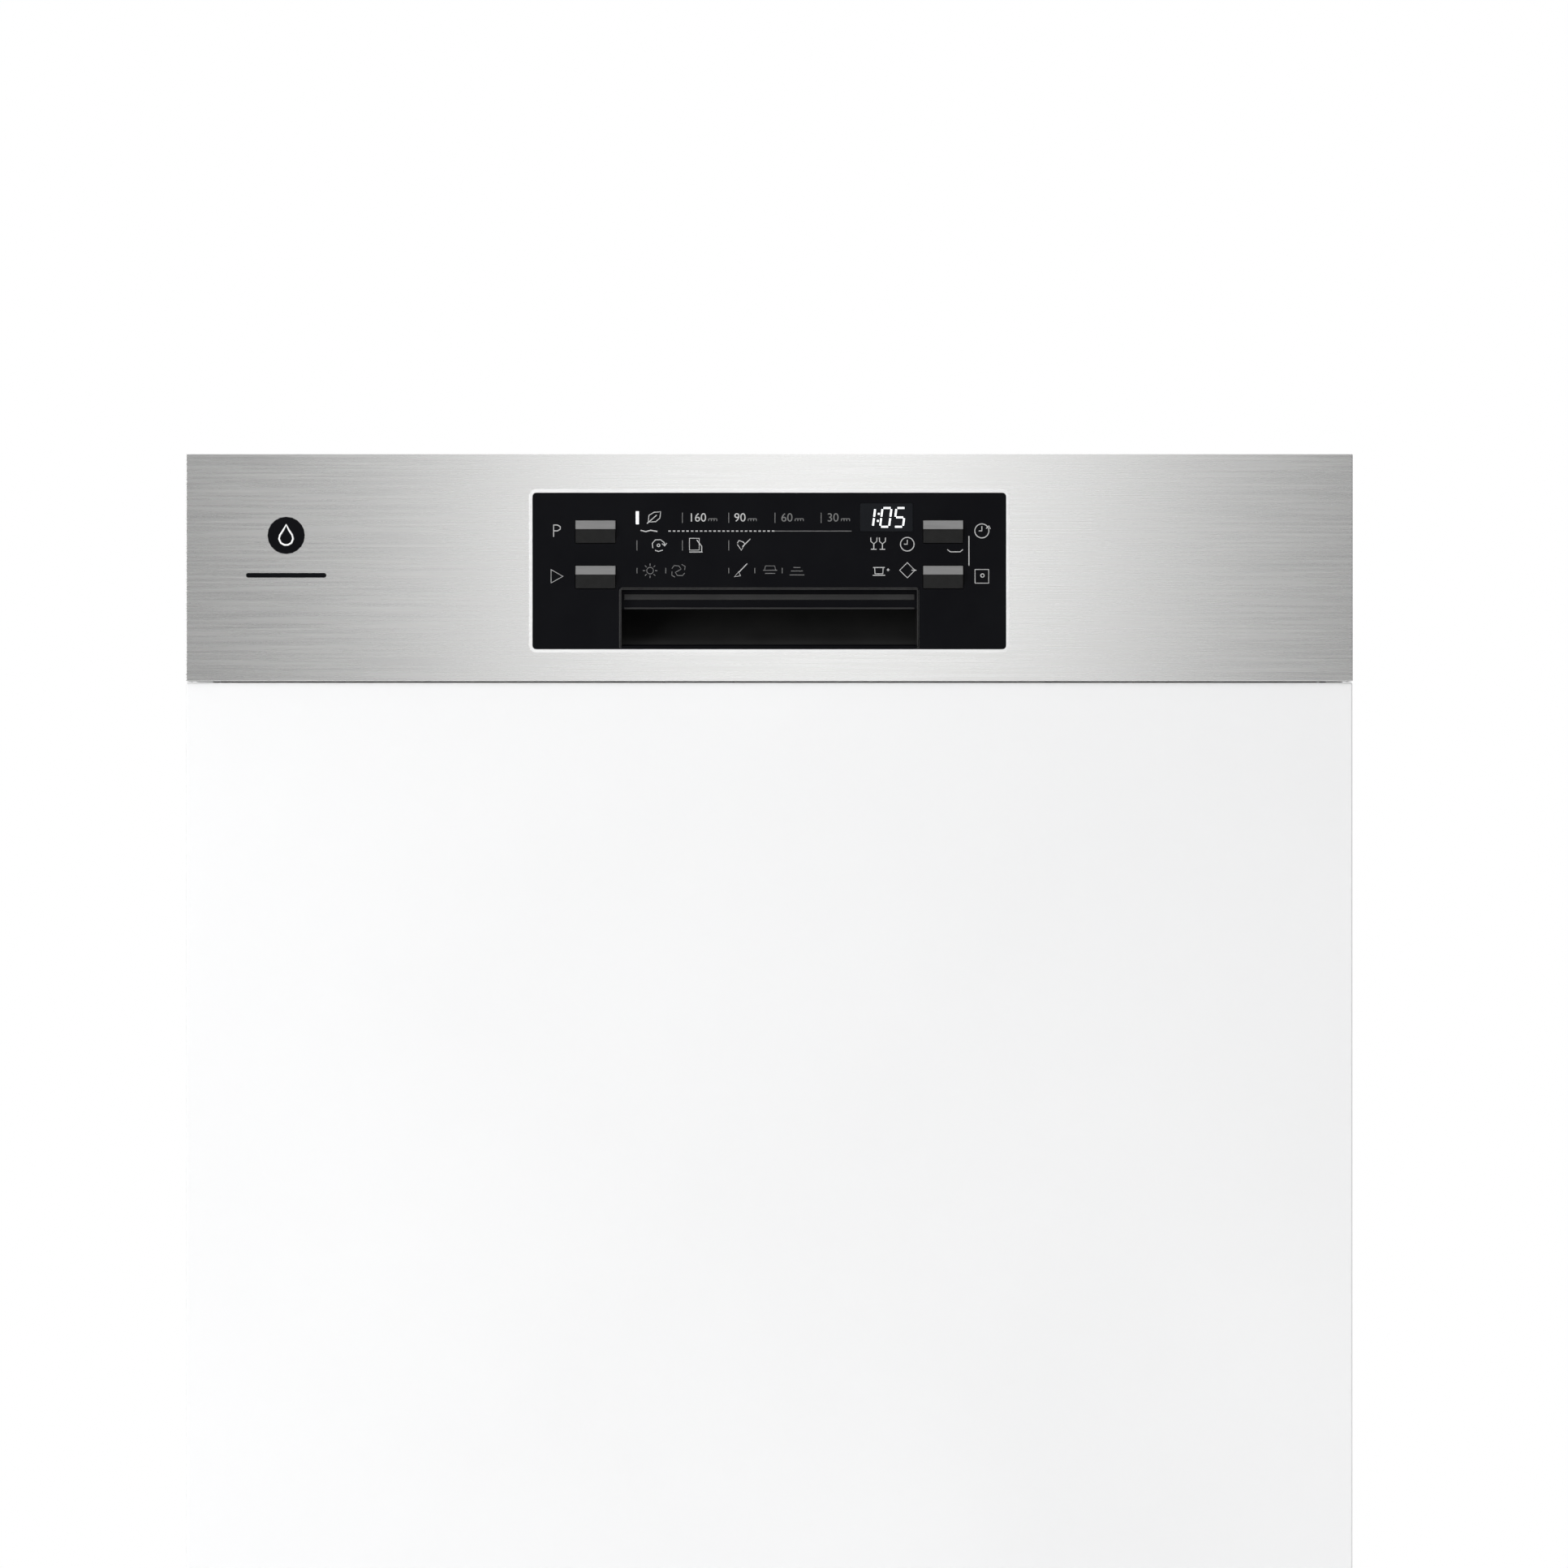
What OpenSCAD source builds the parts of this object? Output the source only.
// Semi-integrated built-in dishwasher with a steel fascia over a furniture panel.
// Frame: +Z up, front towards -Y, +X to the right seen from the front.
// Origin: centre of the overall footprint, on the floor under the feet. Millimetres.

/* [Cabinet] */
// Width of the cabinet and of its front
body_w = 596; // [496:1:720]
// Height over the worktop brackets with the feet screwed in
body_h = 818; // [760:1:1000]
// Depth from the button ridges to the rear spacers
body_d = 577; // [480:1:700]
// Height of the base moulding's top edge above the floor
base_top = 148; // [124:1:178]
// Clearance under the base moulding
base_lift = 14; // [11:1:20]
// Gap between the tub's side wall and the outside of the cabinet
side_gap = 18; // [15:0.5:24]
// Gap between the tub's roof and the worktop
roof_gap = 30; // [28:1:40]
// Gap between the tub's rear wall and the rear spacers
rear_gap = 32; // [26:1:60]
// Thickness of the tub and chassis sheet
sheet = 1.2; // [0.8:0.1:2]

/* [Fascia and controls] */
// Height of the steel fascia
fascia_h = 116; // [112:1:150]
// Gap between the fascia's top edge and the worktop
top_gap = 3; // [2:0.5:6]
// Thickness of the fascia's sheet
fascia_t = 0.8; // [0.6:0.1:1.2]
// Distance from the fascia's top edge to the black control window
window_drop = 19.7; // [14:0.1:24]
// Distance from the window to the fascia's lower edge
window_foot = 16.3; // [10:0.1:20]
// Width of the strip for legends on each side of the buttons
legend_w = 22; // [16:1:40]
// Width of the recessed handle
recess_w = 151; // [120:1:200]
// Height of the recessed handle's opening
recess_h = 29.4; // [24:0.2:36]
// Depth of the recessed handle
recess_d = 33; // [26:1:42]
// Width of a button cap
button_w = 20.4; // [16:0.2:26]
// Height of a button cap
button_h = 11.6; // [9:0.2:16]
// Distance from the recess to the buttons beside it
button_gap = 3.1; // [2.8:0.1:12]
// Distance between the two rows of buttons
button_pitch = 23.2; // [18:0.2:28]
// Travel of a button
button_travel = 1.2; // [0.6:0.1:1.6]

/* [Door] */
// Thickness of the furniture panel
panel_t = 18; // [15:0.5:22]
// Height of the furniture panel's lower edge above the floor
panel_z = 100; // [90:1:120]
// Distance from the door's outer sheet to its inner liner
door_core = 46; // [44:1:60]
// Room for the door seal between liner and tub
seal_gap = 7; // [6:0.5:10]
// Radius of the hinge pins
hinge_pin_r = 4; // [3:0.25:5]
// Width of the detergent dispenser
dispenser_w = 190; // [184:1:230]
// Height of the detergent dispenser
dispenser_h = 112; // [104:1:130]

/* [Racks] */
// Height of the lower rack's basket
lower_rack_h = 168; // [120:1:202]
// Height of the upper rack's basket
upper_rack_h = 108; // [90:1:130]
// Gap between the racks, where the upper spray arm turns
rack_gap = 69; // [58:1:84]
// Radius of the lower rack's wheels
lower_wheel_r = 18; // [15:0.5:22]
// Radius of the upper rack's wheels
upper_wheel_r = 9; // [7:0.5:11]
// Pitch of the wires in both racks
wire_pitch = 48; // [36:1:80]
// Thickness of a rack wire
wire = 4; // [3:0.25:5]
// Height of the plate tines
tine_h = 78; // [60:1:94]

/* [Washing] */
// Gap between the tips of the lower spray arm and what they pass
arm_gap = 8; // [5:1:40]
// How much shorter the upper spray arm is
arm_step = 12; // [4:1:60]
// Radius swept by the ceiling spray arm
ceiling_arm_r = 105; // [70:1:140]
// Radius of the sump's mouth in the tub floor
sump_r = 105; // [102:1:112]

/* [Feet] */
// Radius of a foot's pad
foot_pad_r = 19; // [15:1:24]
// Radius of a foot's screw
foot_screw_r = 7; // [5:0.5:9]
// Travel of a foot
foot_travel = 50; // [30:1:54]

/* [Hidden] */
$fn = 48;

// Clearances
run = 0.05;         // radial, a pin turning in its bore
slip = 0.2;         // a piece set into an opening
glide = 0.3;        // a piece sliding over another
seat = 0.5;         // a foot's pad under the base

// Planes from front to back
hw = body_w / 2;
button_proud = 2;
y_front = -body_d / 2;
y_back = body_d / 2;
y_face = y_front + button_proud;
y_panel = y_face + 1.5;
y_outer = y_panel + panel_t;
y_liner = y_outer + door_core;
y_tub = y_liner + seal_gap;
frame_d = 14;
y_rear = y_back - rear_gap;

// Hinge and the space that the door's lower edge sweeps
hinge_y = y_outer + 20;
hinge_z = base_top + 17;
sweep_r = norm([hinge_y - y_panel, hinge_z - panel_z]);
y_kick = hinge_y + sweep_r + 2;
y_base = y_kick + sheet;
tub_hw = hw - side_gap;
liner_hw = tub_hw + 3;
arm_x = liner_hw + 2;       // inner face of a hinge arm
arm_t = 3;
chassis_x = arm_x + arm_t + 2;
chassis_t = 2;
chassis_h = 36;
tray_hw = chassis_x + chassis_t;
spring_anchor_y = y_tub + 190;
tray_back = y_back - 26;

// Heights
tub_z = base_top + chassis_h + sheet;
ceil_z = body_h - roof_gap;
frame_top = body_h - 2;
door_top = body_h - top_gap;
z_fascia = door_top - fascia_h;
panel_top = z_fascia - 0.6;

// Door
outer_t = 0.8;
liner_return = 34;
liner_top = door_top - 1;
console_hw = liner_hw - sheet - 0.5;
console_top = liner_top - sheet;
console_wall = 2;
console_flange = 3;         // the insert's edge behind the fascia
striker_z = frame_top - 10.5;
button_x = recess_w / 2 + button_gap + button_w / 2;
window_w = 2 * (button_x + button_w / 2 + legend_w);
window_h = fascia_h - window_drop - window_foot;
window_top = door_top - window_drop;
window_z = window_top - window_h / 2;
recess_z = window_top - window_h + 1;
insert_back = y_face + 3.3;
button_rows = [window_top - 19.9, window_top - 19.9 - button_pitch];
lens_w = 27;
lens_h = 14.5;
lens_x = 59.9;
lens_z = window_top - 12.6;
cap_back = y_face + 6;
stem_end = cap_back + 5;
board_y = stem_end + button_travel + 0.6;
dispenser_z = tub_z + 250;
cup_x = 15 - dispenser_w / 2;
cup_w = (dispenser_w - 74) / 2;
cup_h = dispenser_h - 44;
cap_x = dispenser_w / 2 - 25;

// Wash system
duct_hw = 27;
duct_t = 15;
arm_y = (y_tub + y_rear - duct_t) / 2;
tower_r = 15;
journal_r = 10;
arm_z = tub_z + 36;
arm_h = 12;
cartridge_r = 36;
cartridge_at = [38, arm_y - 40];
basin_z = base_top - 8;     // underside of the sump's upper basin
well_z = base_top - 74;     // underside of the sump's lower basin
well_r = 62;
pump_z = base_top - 50;
inlet_x = hw - 90;
inlet_z = base_top - 78;
outlet_x = -(hw - 150);
outlet_z = base_top - 88;
softener_x = -(tub_hw - 94);
softener_y = arm_y - 74;
neck_r = 32;
hub_r = 8;

// Racks
rack_front = y_liner + 22;
rack_back = y_rear - 26;
rail_z = tub_z + 7;
lower_hw = tub_hw - 34;
lower_rack_z = rail_z + 2 * lower_wheel_r + 30;
lower_axle_z = rail_z + lower_wheel_r + glide;
lower_wheel_y = [rack_front + 60, rack_back - 60];
upper_hw = tub_hw - 30;
upper_rack_z = lower_rack_z + lower_rack_h + rack_gap;
upper_axle_z = upper_rack_z + 66;
upper_wheel_y = [rack_front + 70, rack_back - 90];
axle_r = 3;
pipe_z = upper_rack_z - 13;
tine_x = 70;
tine_pivot = [tine_x, lower_rack_z + wire + 4];
shelf_x = upper_hw - wire - 6;
shelf_z = upper_rack_z + upper_rack_h - 24;
shelf_w = 92;
clip_w = 7;
lower_arm_r = min(lower_hw - wire, (y_rear - duct_t - y_tub) / 2) - arm_gap;
upper_arm_r = lower_arm_r - arm_step;

// Feet
front_foot_at = [tray_hw - 34, y_base + 32];
rear_foot_y = y_back - 70;
foot_boss_r = foot_screw_r + 6;
spindle_z = base_lift + 22;

// ---------- helpers

module span(x, y, z) {
    translate([x[0], y[0], z[0]]) cube([x[1] - x[0], y[1] - y[0], z[1] - z[0]]);
}

module both_sides() {
    children();
    mirror([1, 0, 0]) children();
}

// A flat shape drawn in X and Z, from y[0] to y[1]
module upright(y) {
    translate([0, y[1], 0]) rotate([90, 0, 0]) linear_extrude(y[1] - y[0]) children();
}

// A flat shape drawn in Y and Z, from x[0] to x[1]
module across(x) {
    translate([x[0], 0, 0]) rotate([90, 0, 90]) linear_extrude(x[1] - x[0]) children();
}

module rod_x(x, y, z, r) {
    translate([x[0], y, z]) rotate([0, 90, 0]) cylinder(r = r, h = x[1] - x[0]);
}

module rod_y(x, y, z, r) {
    translate([x, y[1], z]) rotate([90, 0, 0]) cylinder(r = r, h = y[1] - y[0]);
}

module rod_z(x, y, z, r) {
    translate([x, y, z[0]]) cylinder(r = r, h = z[1] - z[0]);
}

// Rectangle with round corners, centred
module soft_rect(w, h, r) {
    square([w - 2 * r, h], center = true);
    square([w, h - 2 * r], center = true);
    for (x = [-1, 1], y = [-1, 1]) translate([x * (w / 2 - r), y * (h / 2 - r)]) circle(r);
}

// Arch with round top corners, from z[0] to z[1]
module arch(half, z, r) {
    translate([-half, z[0]]) square([2 * half, z[1] - z[0] - r]);
    translate([r - half, z[0]]) square([2 * (half - r), z[1] - z[0]]);
    for (s = [-1, 1]) translate([s * (half - r), z[1] - r]) circle(r);
}

// Grid of wires over w by h, from the corner
module grid(w, h, pitch_w, pitch_h) {
    nw = max(1, round((w - wire) / pitch_w));
    nh = max(1, round((h - wire) / pitch_h));
    cell_w = (w - wire) / nw;
    cell_h = (h - wire) / nh;
    difference() {
        square([w, h]);
        for (i = [0:nw - 1], j = [0:nh - 1])
            translate([wire + i * cell_w, wire + j * cell_h]) square([cell_w - wire, cell_h - wire]);
    }
}

// Open wire basket between x = -half and half
module wire_basket(half, z, h) {
    depth = rack_back - rack_front;
    translate([-half, rack_front, z]) linear_extrude(wire) grid(2 * half, depth, wire_pitch, wire_pitch);
    for (y = [rack_front, rack_back - wire]) upright([y, y + wire])
        translate([-half, z]) grid(2 * half, h, wire_pitch, h / 2);
    both_sides() across([half - wire, half]) translate([rack_front, z]) grid(depth, h, wire_pitch, h / 2);
}

// Two-bladed spray arm with a bored hub, nozzles upward
module spray_arm(r, z, bore, root, tip) {
    difference() {
        union() {
            linear_extrude_at(z, arm_h) {
                polygon([[0, -root], [r - tip, -tip], [r - tip, tip],
                         [0, root], [tip - r, tip], [tip - r, -tip]]);
                circle(root);
                for (s = [-1, 1]) translate([s * (r - tip), 0]) circle(tip);
            }
            for (s = [-1, 1], k = [1:4])
                translate([s * r * k / 4.6, 0, z + arm_h]) cylinder(r1 = 4, r2 = 2.5, h = 2);
        }
        rod_z(0, 0, [z - 1, z + arm_h + 1], bore);
    }
}

module linear_extrude_at(z, h) {
    translate([0, 0, z]) linear_extrude(h) children();
}

// Pair of wheels on one axle line, x is the width of the right one
module wheel_pair(x, y, z, r) {
    both_sides() difference() {
        union() {
            rod_x(x, y, z, r);
            rod_x([x[0] - 0.6, x[1]], y, z, axle_r + 3);
        }
        rod_x([x[0] - 1, x[1] + 1], y, z, axle_r + run);
        for (a = [0:60:300]) translate([0, (r + axle_r) / 2 * cos(a), (r + axle_r) / 2 * sin(a)])
            rod_x([x[1] - 1.2, x[1] + 1], y, z, r * 0.15);
    }
}

// ---------- base

module foot_boss(x, y) {
    rod_z(x, y, [base_lift, base_lift + foot_travel + 14], foot_boss_r);
}

module foot_bore(x, y) {
    rod_z(x, y, [base_lift - 1, base_lift + foot_travel + 15], foot_screw_r + run);
}

// Foot at the origin, screwed in, its screw reaching up through the boss
module foot() {
    pad_h = 6;
    rod_z(0, 0, [0, pad_h], foot_pad_r);
    translate([0, 0, pad_h]) cylinder(r = foot_screw_r + 5, h = base_lift - seat - pad_h, $fn = 6);
    rod_z(0, 0, [base_lift - seat, base_lift + foot_travel + 12], foot_screw_r);
}

module base_tray() {
    wall = 3;
    inner = tray_hw - wall;
    color("dimgray") difference() {
        union() {
            difference() {
                span([-tray_hw, tray_hw], [y_base, tray_back], [base_lift, base_top]);
                span([-inner, inner], [y_base + wall, tray_back - wall], [base_lift + wall, base_top + 1]);
            }
            both_sides() span([inner, tray_hw], [tray_back - 1, y_back], [base_lift, base_top]);
            both_sides() foot_boss(front_foot_at[0], front_foot_at[1]);
            foot_boss(0, rear_foot_y);
            span([-16, 16], [rear_foot_y - 22, rear_foot_y], [base_lift + 1, base_lift + 40]);
            for (x = [150, 190]) span([x, x + 5], [arm_y - 30, arm_y + 30], [base_lift + 1, pump_z - 36]);
            for (y = [softener_y - 40, softener_y + 24])
                span([softener_x - 50, softener_x + 50], [y, y + 8], [base_lift + 1, base_lift + 9]);
            rod_y(inlet_x, [tray_back - 8, tray_back + 5], inlet_z, 12);
        }
        both_sides() foot_bore(front_foot_at[0], front_foot_at[1]);
        foot_bore(0, rear_foot_y);
        rod_y(0, [y_base - 1, y_base + wall + 1], spindle_z, 6);
        rod_y(0, [rear_foot_y - 23, rear_foot_y - 12], spindle_z, 4 + run);
        rod_y(-inlet_x, [tray_back - wall - 1, tray_back + 1], inlet_z, 15);
        rod_y(outlet_x, [tray_back - wall - 1, tray_back + 1], outlet_z, 11.5);
        rod_y(inlet_x, [tray_back - 9, tray_back + 6], inlet_z, 5);
    }
}

module plinth_panel() {
    color("gray") difference() {
        upright([y_kick, y_kick + sheet]) translate([0, (base_lift + base_top) / 2])
            soft_rect(2 * hw - 16, base_top - base_lift - 6, 3);
        rod_y(0, [y_kick - 1, y_kick + sheet + 1], spindle_z, 8);
        for (x = [-1, 1]) rod_y(x * (hw - 30), [y_kick - 1, y_kick + sheet + 1], base_top - 20, 2.5);
    }
}

module rear_foot_spindle() {
    color("silver") {
        rod_y(0, [y_kick - 3, rear_foot_y - 13], spindle_z, 4);
        translate([0, y_kick - 3, spindle_z]) rotate([90, 0, 0]) cylinder(r = 6, h = 5, $fn = 6);
    }
}

// Side rails with the hinge pins and the ledge under the tub floor
module chassis_rails() {
    top = tub_z - sheet;
    color("lightsteelblue") both_sides() {
        across([chassis_x, chassis_x + chassis_t]) {
            polygon([[hinge_y, hinge_z + 15], [hinge_y, hinge_z - 15], [y_base, hinge_z - 15],
                     [y_base, base_top], [y_back - 8, base_top], [y_back - 8, top],
                     [y_tub, top], [y_tub, hinge_z + 15]]);
            translate([hinge_y, hinge_z]) circle(15);
        }
        span([tub_hw, chassis_x + 0.5], [y_tub, y_back - 40], [top - 1.5, top]);
        rod_x([arm_x - 2, chassis_x + 1], hinge_y, hinge_z, hinge_pin_r);
        span([arm_x - 2, chassis_x + 0.5], [spring_anchor_y, spring_anchor_y + 2], [base_top + 2, top - 1]);
    }
}

// Close-wound pull springs as tubes, with a hook at each end
module door_springs() {
    x = arm_x - 1;
    y = [y_tub + 14, y_tub + 164];
    z = hinge_z - 8;
    coil_r = 4.2;
    wire_r = 1.3;
    hook_r = wire_r - 0.2;
    color("silver") both_sides() {
        difference() {
            rod_y(x, y, z, coil_r + wire_r);
            rod_y(x, [y[0] - 1, y[1] + 1], z, coil_r - wire_r);
        }
        for (end = [[y[0] - 10, y[0] + 1], [y[1] - 1, spring_anchor_y]]) rod_y(x + coil_r, end, z, hook_r);
    }
}

// ---------- tub

module tub_floor() {
    rib_y = [y_tub + 3, y_rear - 4];
    color("silver") difference() {
        union() {
            span([-tray_hw, tray_hw], [y_tub, y_rear + sheet], [tub_z - sheet, tub_z]);
            both_sides() span([lower_hw + 2, tub_hw - 6], rib_y, [tub_z - 0.5, rail_z]);
        }
        rod_z(0, arm_y, [tub_z - 2 * sheet, tub_z + 1], sump_r);
        rod_z(softener_x, softener_y, [tub_z - 2 * sheet, tub_z + 1], neck_r + glide);
    }
}

module tub_wrap() {
    color("silver") upright([y_tub + frame_d, y_rear]) difference() {
        arch(tub_hw + sheet, [tub_z, ceil_z + sheet], 30);
        arch(tub_hw, [tub_z - 1, ceil_z], 30 - sheet);
    }
}

module tub_rear_wall() {
    color("silver") upright([y_rear, y_rear + sheet]) arch(tub_hw + sheet, [tub_z, ceil_z + sheet], 30);
}

module front_frame() {
    color("gainsboro") upright([y_tub, y_tub + frame_d]) difference() {
        arch(hw, [tub_z, frame_top], 3);
        arch(tub_hw, [tub_z - 1, ceil_z], 30 - sheet);
    }
}

module side_panels() {
    color("darkgray") both_sides()
        span([hw - sheet, hw], [y_tub + frame_d, y_back - 12], [base_top, frame_top - 4]);
}

// Heavy mats stuck to the tub's outside
module sound_mats() {
    mat = 3;
    y = [y_tub + 50, y_rear - 20];
    z = [tub_z + 40, ceil_z - 50];
    half = tub_hw - 60;
    color("black") {
        both_sides() span([tub_hw + sheet, tub_hw + sheet + mat], y, z);
        span([-half, half], y, [ceil_z + sheet, ceil_z + sheet + mat]);
        span([-half, half], [y_rear + sheet, y_rear + sheet + mat], z);
    }
}

module worktop_brackets() {
    color("silver") both_sides() translate([hw - 70, 0, 0]) difference() {
        span([-17, 17], [y_tub, y_tub + 38], [frame_top, body_h]);
        rod_z(0, y_tub + 26, [frame_top - 1, body_h + 1], 2.5);
    }
}

module door_seal() {
    lip = seal_gap - 2;
    color("dimgray") {
        upright([y_liner + 0.4, y_tub]) difference() {
            arch(tub_hw + 9, [tub_z + 12, ceil_z + 9], 37);
            arch(tub_hw + 1, [tub_z + 11, ceil_z + 1], 29);
        }
        span([4 - tub_hw, tub_hw - 4], [y_tub - lip, y_tub], [tub_z - 8, tub_z]);
    }
}

module door_striker() {
    reach = y_liner - 20;
    color("silver") {
        span([-14, 14], [y_tub - 1.5, y_tub], [striker_z - 6, striker_z + 6]);
        for (x = [-5, 5]) rod_y(x, [reach, y_tub - 1], striker_z, 1.8);
        rod_x([-5, 5], reach, striker_z, 1.8);
    }
}

// ---------- wash system

module sump() {
    color("gray") difference() {
        union() {
            rod_z(0, arm_y, [tub_z - sheet - 3, tub_z - sheet], sump_r + 12);
            rod_z(0, arm_y, [basin_z, tub_z - sheet - 1], sump_r - 2);
            rod_z(0, arm_y, [well_z, basin_z + 1], well_r);
            rod_x([well_r - 4, well_r + 30], arm_y, pump_z, 17);
            rod_x([-(well_r + 22), 4 - well_r], arm_y, pump_z - 8, 12);
        }
        rod_z(0, arm_y, [basin_z + 3, tub_z], sump_r - 8);
        rod_z(0, arm_y, [tub_z - 9, tub_z], sump_r - 5);
        rod_z(0, arm_y, [well_z + 3, basin_z + 4], well_r - 3);
        rod_x([well_r - 6, well_r + 31], arm_y, pump_z, 14);
        rod_x([-(well_r + 23), 6 - well_r], arm_y, pump_z - 8, 9);
    }
}

module filter_plate() {
    color("silver") difference() {
        rod_z(0, arm_y, [tub_z - 9, tub_z - 9 + sheet], sump_r - 5 - slip);
        rod_z(0, arm_y, [tub_z - 10, tub_z], tower_r + 1);
        rod_z(cartridge_at[0], cartridge_at[1], [tub_z - 10, tub_z], cartridge_r + glide);
    }
}

module filter_cartridge() {
    deck = tub_z - 9 + sheet + glide;
    color("dimgray") translate([cartridge_at[0], cartridge_at[1], 0]) {
        difference() {
            union() {
                rod_z(0, 0, [basin_z + 6, deck + 1], cartridge_r);
                rod_z(0, 0, [deck, deck + 3], cartridge_r + 3.5);
            }
            rod_z(0, 0, [basin_z + 9, deck + 4], cartridge_r - 3);
        }
        span([-4, 4], [1 - cartridge_r, cartridge_r - 1], [deck, deck + 15]);
    }
}

module spray_tower() {
    shoulder = arm_z - 2;
    color("gray") translate([0, arm_y, 0]) {
        rod_z(0, 0, [well_z + 3, shoulder], tower_r);
        rod_z(0, 0, [shoulder - 1, arm_z + arm_h + 1], journal_r);
        rod_z(0, 0, [arm_z + arm_h + 1, arm_z + arm_h + 4], journal_r + 4);
    }
}

module lower_spray_arm() {
    color("gray") translate([0, arm_y, 0]) rotate(20) spray_arm(lower_arm_r, arm_z, journal_r + run, 27, 16);
}

module circulation_pump() {
    x = well_r + 30;
    color("gainsboro") {
        rod_x([x, x + 36], arm_y, pump_z, 40);
        rod_x([x + 35, x + 120], arm_y, pump_z, 36);
        rod_x([x + 119, x + 132], arm_y, pump_z, 18);
    }
}

module drain_pump() {
    x = -(well_r + 22);
    z = pump_z - 8;
    bend = tray_back - 60;
    color("gainsboro") {
        rod_x([x - 34, x], arm_y, z, 26);
        rod_x([x - 62, x - 33], arm_y, z, 19);
        rod_y(x - 18, [arm_y + 20, bend], z, 9);
        span([outlet_x - 12, x - 6], [bend - 24, bend + 2], [outlet_z - 12, z + 12]);
        rod_y(outlet_x, [bend, tray_back + 2], outlet_z, 10.9);
        rod_y(outlet_x, [tray_back + 1, y_back - 2], outlet_z, 10);
    }
}

module softener() {
    color("whitesmoke") translate([softener_x, softener_y, 0]) difference() {
        union() {
            span([-56, 56], [-46, 40], [base_lift + 9, basin_z - 2]);
            rod_z(0, 0, [basin_z - 3, tub_z + 2], neck_r);
        }
        rod_z(0, 0, [base_top - 20, tub_z + 3], neck_r - 6);
    }
}

module salt_cap() {
    top = tub_z + 2 + glide;
    color("dimgray") translate([softener_x, softener_y, 0]) {
        rod_z(0, 0, [tub_z - 12, top + 1], neck_r - 6 - run);
        rod_z(0, 0, [top, top + 5], neck_r + 1);
        span([8 - neck_r, neck_r - 8], [-4, 4], [top + 4, top + 12]);
    }
}

module inlet_valve() {
    color("gainsboro") translate([-inlet_x, 0, inlet_z]) {
        span([-20, 20], [tray_back - 55, tray_back - 5], [-20, 22]);
        rod_y(0, [tray_back - 6, y_back - 16], 0, 14);
        rod_y(0, [y_back - 17, y_back - 2], 0, 13.2);
        rod_z(0, tray_back - 30, [21, 48], 14);
    }
}

// Flat duct up the rear wall and along the roof, with the ceiling arm's pin
module feed_duct() {
    z = ceil_z - duct_t;
    color("gray") {
        span([-duct_hw, duct_hw], [y_rear - duct_t, y_rear], [tub_z, ceil_z]);
        span([-duct_hw, duct_hw], [arm_y, y_rear - 1], [z, ceil_z]);
        rod_z(0, arm_y, [z, ceil_z], duct_hw);
        rod_z(0, arm_y, [z - arm_h - 5, z + 1], hub_r);
        rod_z(0, arm_y, [z - arm_h - 8, z - arm_h - 4], hub_r + 4);
        rod_y(0, [y_rear - duct_t - 5, y_rear - 1], pipe_z, 14);
    }
}

module ceiling_spray_arm() {
    z = ceil_z - duct_t - arm_h - 3;
    color("gray") translate([0, arm_y, 0]) spray_arm(ceiling_arm_r, z, hub_r + run, 18, 10);
}

// ---------- racks

module upper_rack_rails() {
    depth = 12;
    rail_t = 2;
    stop_t = 3;
    gap = upper_wheel_r + 2 * glide;
    color("silver") both_sides() translate([tub_hw - depth, 0, upper_axle_z]) {
        for (z = [-gap - rail_t, gap]) span([0, depth], [rack_front + 4, rack_back - 4], [z, z + rail_t]);
        span([0, depth], [rack_back - 6 - stop_t, rack_back - 6], [1 - gap, gap - 1]);
    }
}

module upper_rack() {
    color("silver") difference() {
        union() {
            wire_basket(upper_hw, upper_rack_z, upper_rack_h);
            for (y = upper_wheel_y) both_sides() translate([0, y, upper_axle_z]) {
                span([upper_hw - wire, upper_hw + 4], [-16, 16], [-14, 14]);
                rod_x([upper_hw, tub_hw - 3], 0, 0, axle_r);
            }
            for (y = [rack_front + 40, rack_back - 60]) translate([0, y, 0])
                span([shelf_x - 5, upper_hw - 1], [0, clip_w], [shelf_z - 6, upper_rack_z + upper_rack_h]);
        }
        rod_y(shelf_x, [rack_front + 30, rack_back - 40], shelf_z, 2.5 + run);
    }
}

module cup_shelf() {
    y0 = rack_front + 34;
    y1 = rack_back - 47;
    color("silver") {
        rod_y(shelf_x, [y0, y1], shelf_z, 2.5);
        translate([shelf_x - shelf_w, y0 + 20, shelf_z - 1.5]) linear_extrude(3)
            grid(shelf_w, y1 - y0 - 40, wire_pitch, wire_pitch);
    }
}

module upper_feed_pipe() {
    color("gray") {
        rod_y(0, [arm_y, y_rear - duct_t - 6], pipe_z, 10);
        rod_z(0, arm_y, [pipe_z - 11, upper_rack_z], 15);
        rod_z(0, arm_y, [pipe_z - arm_h - 19, pipe_z - 10], hub_r);
        rod_z(0, arm_y, [pipe_z - arm_h - 21, pipe_z - arm_h - 17], hub_r + 4);
        span([-12, 12], [rack_back - 60, rack_back - 48], [pipe_z, upper_rack_z]);
    }
}

module upper_spray_arm() {
    color("gray") translate([0, arm_y, 0]) rotate(-35)
        spray_arm(upper_arm_r, pipe_z - arm_h - 16, hub_r + run, 24, 14);
}

module upper_wheels(k) {
    color("white") wheel_pair([tub_hw - 10.5, tub_hw - 2.5], upper_wheel_y[k], upper_axle_z, upper_wheel_r);
}

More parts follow.
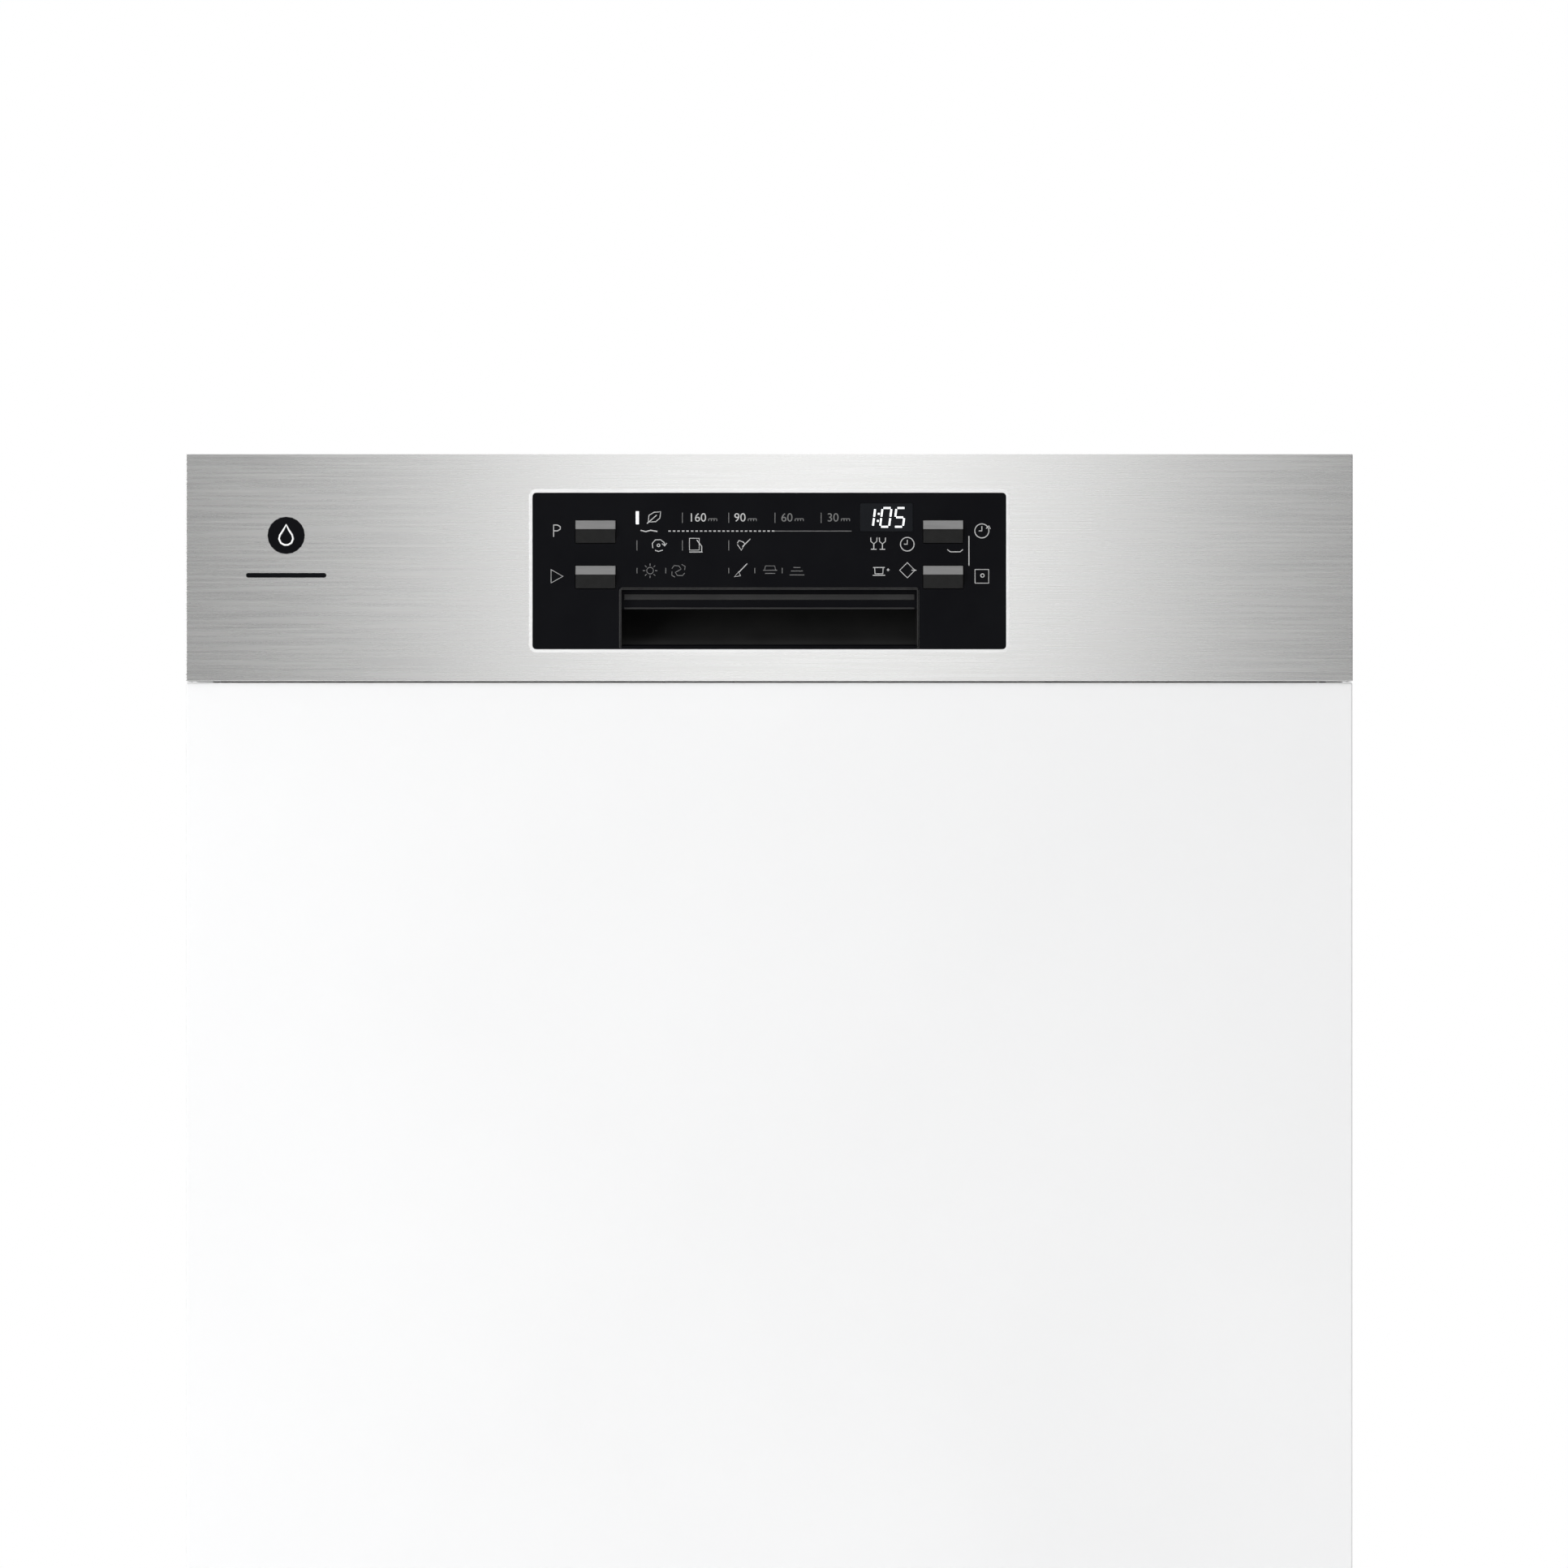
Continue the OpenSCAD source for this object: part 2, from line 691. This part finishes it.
// Comb of tines standing on the basket's floor, in a row along Y
module tine_row(x, y, base) {
    count = floor((y[1] - y[0]) / 30);
    for (i = [0:count]) translate([x, y[0] + i * 30, base]) cylinder(r = wire * 0.4, h = tine_h, $fn = 8);
    span([x - wire / 2, x + wire / 2], [y[0] - 4, y[0] + count * 30 + 4], [base - 1, base + 2]);
}

module lower_rack() {
    fold_y = [rack_front + 50, rack_back - 50];
    color("silver") difference() {
        union() {
            wire_basket(lower_hw, lower_rack_z, lower_rack_h);
            for (y = lower_wheel_y) both_sides() translate([lower_hw, y, 0]) {
                span([-wire, 4], [-10, 10], [lower_axle_z - 8, lower_rack_z + 30]);
                rod_x([0, 16], 0, lower_axle_z, axle_r);
            }
            for (x = [-96, -30, tine_x + tine_h + 16])
                tine_row(x, [rack_front + 60, rack_back - 40], lower_rack_z + wire);
            for (y = fold_y) translate([tine_x, y, 0])
                span([-5, 5], [0, clip_w], [lower_rack_z + 1, tine_pivot[1] + 5]);
        }
        rod_y(tine_pivot[0], [fold_y[0] - 10, fold_y[1] + 17], tine_pivot[1], 2.5 + run);
    }
}

module folding_tines() {
    y = [rack_front + 44, rack_back - 36];
    count = floor((y[1] - y[0] - 50) / 30);
    color("silver") {
        rod_y(tine_pivot[0], y, tine_pivot[1], 2.5);
        for (i = [0:count]) translate([tine_pivot[0], y[0] + 25 + i * 30, tine_pivot[1] + 1])
            cylinder(r = wire * 0.4, h = tine_h - 5, $fn = 8);
    }
}

module lower_wheels(k) {
    color("white") wheel_pair([lower_hw + 5.2, lower_hw + 15], lower_wheel_y[k], lower_axle_z, lower_wheel_r);
}

module cutlery_basket() {
    x = [8 - (lower_hw - wire), 92 - (lower_hw - wire)];
    y = [rack_front + 14, rack_front + 238];
    z = lower_rack_z + wire;
    h = 120;
    wall = 2.4;
    cells = 4;
    color("gray") {
        difference() {
            span(x, y, [z, z + h]);
            for (i = [0:cells - 1], j = [0, 1]) {
                w = (y[1] - y[0] - wall) / cells;
                d = (x[1] - x[0] - wall) / 2;
                span([x[0] + wall + j * d, x[0] + (j + 1) * d], [y[0] + wall + i * w, y[0] + (i + 1) * w],
                     [z + wall, z + h + 1]);
            }
        }
        translate([(x[0] + x[1]) / 2, 0, z + h])
            span([-wall / 2, wall / 2], [y[0] + 70, y[1] - 70], [-1, 30]);
    }
}

// ---------- door

module furniture_panel() {
    color("white") span([-hw, hw], [y_panel, y_outer], [panel_z, panel_top]);
}

module door_outer_sheet() {
    half = hw - 2;
    color("lightgray") {
        span([-half, half], [y_outer, y_outer + outer_t], [panel_z + 4, panel_top]);
        both_sides() span([half - outer_t, half], [y_outer, y_liner - 4], [hinge_z + 30, panel_top]);
    }
}

module door_sound_mat() {
    half = liner_hw - 20;
    y = y_outer + outer_t;
    color("black") span([-half, half], [y, y + 3], [hinge_z + 60, z_fascia - 30]);
}

module door_liner() {
    back = y_liner - 0.5;
    cut_y = [y_liner - 5, y_liner + 5];
    hole = dispenser_w / 2 + slip;
    color("silver") difference() {
        union() {
            span([-liner_hw, liner_hw], [y_liner - sheet, y_liner], [hinge_z - 5, liner_top]);
            both_sides() {
                span([liner_hw - sheet, liner_hw], [y_liner - liner_return, back], [hinge_z + 30, liner_top]);
                span([lower_hw + 2, tub_hw - 6], [back, y_liner + 1.6], [hinge_z + 8, liner_top - 120]);
            }
            span([-liner_hw, liner_hw], [y_liner - 20, back], [liner_top - sheet, liner_top]);
        }
        span([-hole, hole], cut_y, [dispenser_z - slip, dispenser_z + dispenser_h + slip]);
        span([-12, 12], cut_y, [striker_z - 4.5, striker_z + 4.5]);
    }
}

module hinge_arms() {
    color("lightsteelblue") both_sides() difference() {
        union() {
            across([arm_x, arm_x + arm_t]) {
                translate([hinge_y, hinge_z]) circle(12);
                translate([hinge_y - 10, hinge_z]) square([18, 180]);
                translate([hinge_y, hinge_z]) rotate(-15) translate([0, -5]) square([26, 10]);
            }
            for (z = [100, 150]) translate([0, hinge_y, hinge_z + z])
                span([liner_hw, arm_x + 0.5], [-6, 6], [0, 14]);
        }
        rod_x([arm_x - 1, arm_x + arm_t + 1], hinge_y, hinge_z, hinge_pin_r + run);
    }
}

module fascia() {
    t = fascia_t;
    color("silver") difference() {
        union() {
            span([-hw, hw], [y_face, y_face + t], [z_fascia, door_top]);
            span([-hw, hw], [y_face, y_face + 38], [door_top - t, door_top]);
            both_sides() span([hw - t, hw], [y_face, y_face + 38], [z_fascia, door_top]);
            span([-hw, hw], [y_face, y_face + 14], [z_fascia, z_fascia + t]);
        }
        upright([y_face - 1, y_face + t + 1]) translate([0, window_z]) soft_rect(window_w, window_h, 2);
    }
}

module console_housing() {
    y0 = y_face + fascia_t;
    z0 = z_fascia + fascia_t;
    z1 = console_top;
    w = console_wall;
    color("dimgray") difference() {
        span([-console_hw, console_hw], [y0, y_liner - sheet], [z0, z1]);
        span([w - console_hw, console_hw - w], [y0 + w, y_liner], [z0 + w, z1 - w]);
        upright([y0 - 1, y0 + w + 1]) translate([0, window_z])
            soft_rect(window_w + 2 * (console_flange + slip), window_h + 2 * (console_flange + slip), 3);
    }
}

module control_insert() {
    flange_y = y_face + fascia_t;
    cut_y = [y_face - 1, insert_back + 1];
    cup_half = recess_w / 2 + 1.3;
    color("black") difference() {
        translate([0, 0, window_z]) {
            upright([y_face + 0.3, flange_y + 0.5]) soft_rect(window_w - slip, window_h - slip, 1.9);
            upright([flange_y, insert_back])
                soft_rect(window_w + 2 * console_flange, window_h + 2 * console_flange, 2.8);
        }
        for (x = [-1, 1], z = button_rows) upright(cut_y) translate([x * button_x, z])
            soft_rect(button_w + 2 * glide, button_h + 2 * glide, 0.8);
        upright(cut_y) translate([lens_x, lens_z]) soft_rect(lens_w + slip, lens_h + slip, 0.6);
        span([-cup_half, cup_half], cut_y, [recess_z, recess_z + recess_h + 1.3]);
    }
}

module display_lens() {
    color([0.1, 0.1, 0.12]) upright([y_face + 0.3, insert_back]) translate([lens_x, lens_z])
        soft_rect(lens_w, lens_h, 0.5);
}

// Circuit board with a switch behind each button and the display block
module control_board() {
    top = window_top - 4;
    low = button_rows[1] - 10;
    mid = recess_z + recess_h + 15;
    half = button_x + 22;
    inner = recess_w / 2 + 5;
    color("darkgreen") {
        span([-half, half], [board_y, board_y + 1.6], [mid, top]);
        both_sides() span([inner, half], [board_y, board_y + 1.6], [low, mid + 1]);
        for (x = [-1, 1], z = button_rows) translate([x * button_x, 0, z])
            span([-3, 3], [board_y - 0.4, board_y + 0.5], [-3, 3]);
        span([lens_x - 14, lens_x + 14], [insert_back + 0.5, board_y + 0.5], [lens_z - 7, lens_z + 7]);
    }
}

// Side profile of the hollow in the handle: grip bar in front, room for fingers up behind it,
// and a scoop from the lower edge to the back
module recess_profile() {
    sill = 0.6;
    bar_h = 10;
    bar_y = 4;
    bar_t = 5;
    back = recess_d - 3;
    scoop_r = min(recess_h - sill, back);
    translate([y_face, recess_z]) difference() {
        union() {
            translate([-1, sill]) square([back + 1, recess_h - sill]);
            translate([bar_y + bar_t, recess_h - 1]) square([back - bar_y - bar_t, 9]);
        }
        translate([bar_y, recess_h - bar_h]) square([bar_t, bar_h + 1]);
        translate([back - scoop_r, sill]) difference() {
            square(scoop_r);
            translate([0, scoop_r]) circle(scoop_r);
        }
    }
}

module handle_cup() {
    half = recess_w / 2;
    rim = 1.2;
    top = recess_z + recess_h;
    color("black") difference() {
        union() {
            span([-half - rim, half + rim], [y_face + 0.1, insert_back], [recess_z + 0.1, top + rim]);
            span([-half - rim, half + rim], [insert_back, y_face + recess_d], [recess_z - 2, top + 10]);
        }
        across([-half, half]) recess_profile();
    }
}

module button(x, row) {
    z = button_rows[row];
    h = button_h / 2;
    w = button_w / 2;
    color("dimgray") translate([x * button_x, 0, 0]) {
        across([-w, w]) polygon([[cap_back, z + h], [y_face + 0.3, z + h], [y_front, z + h * 0.22],
                                 [y_front, z + h * 0.12], [y_face + 0.3, z - h], [cap_back, z - h]]);
        span([-w - 1, w + 1], [insert_back + 0.5, cap_back], [z - h - 1.5, z + h + 1.5]);
        rod_y(0, [cap_back - 1, stem_end], z, 2.5);
    }
}

module door_latch() {
    color("dimgray") difference() {
        span([-22, 22], [y_liner - 38, y_liner - sheet], [striker_z - 5.6, striker_z + 5]);
        span([-10, 10], [y_liner - 27, y_liner + 1], [striker_z - 3.6, striker_z + 3.6]);
    }
}

module detergent_dispenser() {
    half = dispenser_w / 2;
    z = [dispenser_z, dispenser_z + dispenser_h];
    mid = (z[0] + z[1]) / 2;
    color("dimgray") difference() {
        union() {
            span([-half, half], [y_liner - 34, y_liner + 1], z);
            span([-half - 6, half + 6], [y_liner, y_liner + 2.6], [z[0] - 6, z[1] + 6]);
        }
        span([cup_x, cup_x + cup_w], [y_liner - 27, y_liner + 3], [mid - cup_h / 2, mid + cup_h / 2]);
        rod_y(cap_x, [y_liner - 14, y_liner + 3], mid, 15);
    }
}

module dispenser_lid() {
    mid = dispenser_z + dispenser_h / 2;
    y = y_liner + 2.6 + glide;
    color("gray") {
        upright([y, y + 3]) translate([cup_x + cup_w / 2, mid]) soft_rect(cup_w + 12, cup_h + 12, 5);
        span([cup_x + 10, cup_x + 14], [y + 2, y + 5], [mid - 16, mid + 16]);
    }
}

module rinse_aid_cap() {
    z = dispenser_z + dispenser_h / 2;
    y = y_liner + 2.6 + glide;
    color("gray") {
        rod_y(cap_x, [y_liner - 10, y + 1], z, 15 - run);
        rod_y(cap_x, [y, y + 3], z, 17);
        span([cap_x - 12, cap_x + 12], [y + 2, y + 4.5], [z - 3, z + 3]);
    }
}

// ---------- nodes

base_tray();
plinth_panel();
chassis_rails();
door_springs();
tub_floor();
tub_wrap();
tub_rear_wall();
front_frame();
side_panels();
sound_mats();
worktop_brackets();
door_seal();
door_striker();
sump();
filter_plate();
spray_tower();
circulation_pump();
drain_pump();
softener();
inlet_valve();
feed_duct();
upper_rack_rails();
color("dimgray") translate([-front_foot_at[0], front_foot_at[1], 0]) foot();  // front_foot_left
color("dimgray") translate([front_foot_at[0], front_foot_at[1], 0]) foot();  // front_foot_right
color("dimgray") translate([0, rear_foot_y, 0]) foot();  // rear_foot
rear_foot_spindle();
filter_cartridge();
salt_cap();
lower_spray_arm();
ceiling_spray_arm();
upper_rack();
upper_feed_pipe();
upper_spray_arm();
cup_shelf();
upper_wheels(0);  // upper_wheels_front
upper_wheels(1);  // upper_wheels_rear
lower_rack();
cutlery_basket();
folding_tines();
lower_wheels(0);  // lower_wheels_front
lower_wheels(1);  // lower_wheels_rear
furniture_panel();
door_outer_sheet();
door_sound_mat();
door_liner();
hinge_arms();
fascia();
console_housing();
control_insert();
display_lens();
control_board();
handle_cup();
door_latch();
detergent_dispenser();
button(-1, 0);  // program_button
button(-1, 1);  // start_button
button(1, 0);  // delay_button
button(1, 1);  // option_button
dispenser_lid();
rinse_aid_cap();
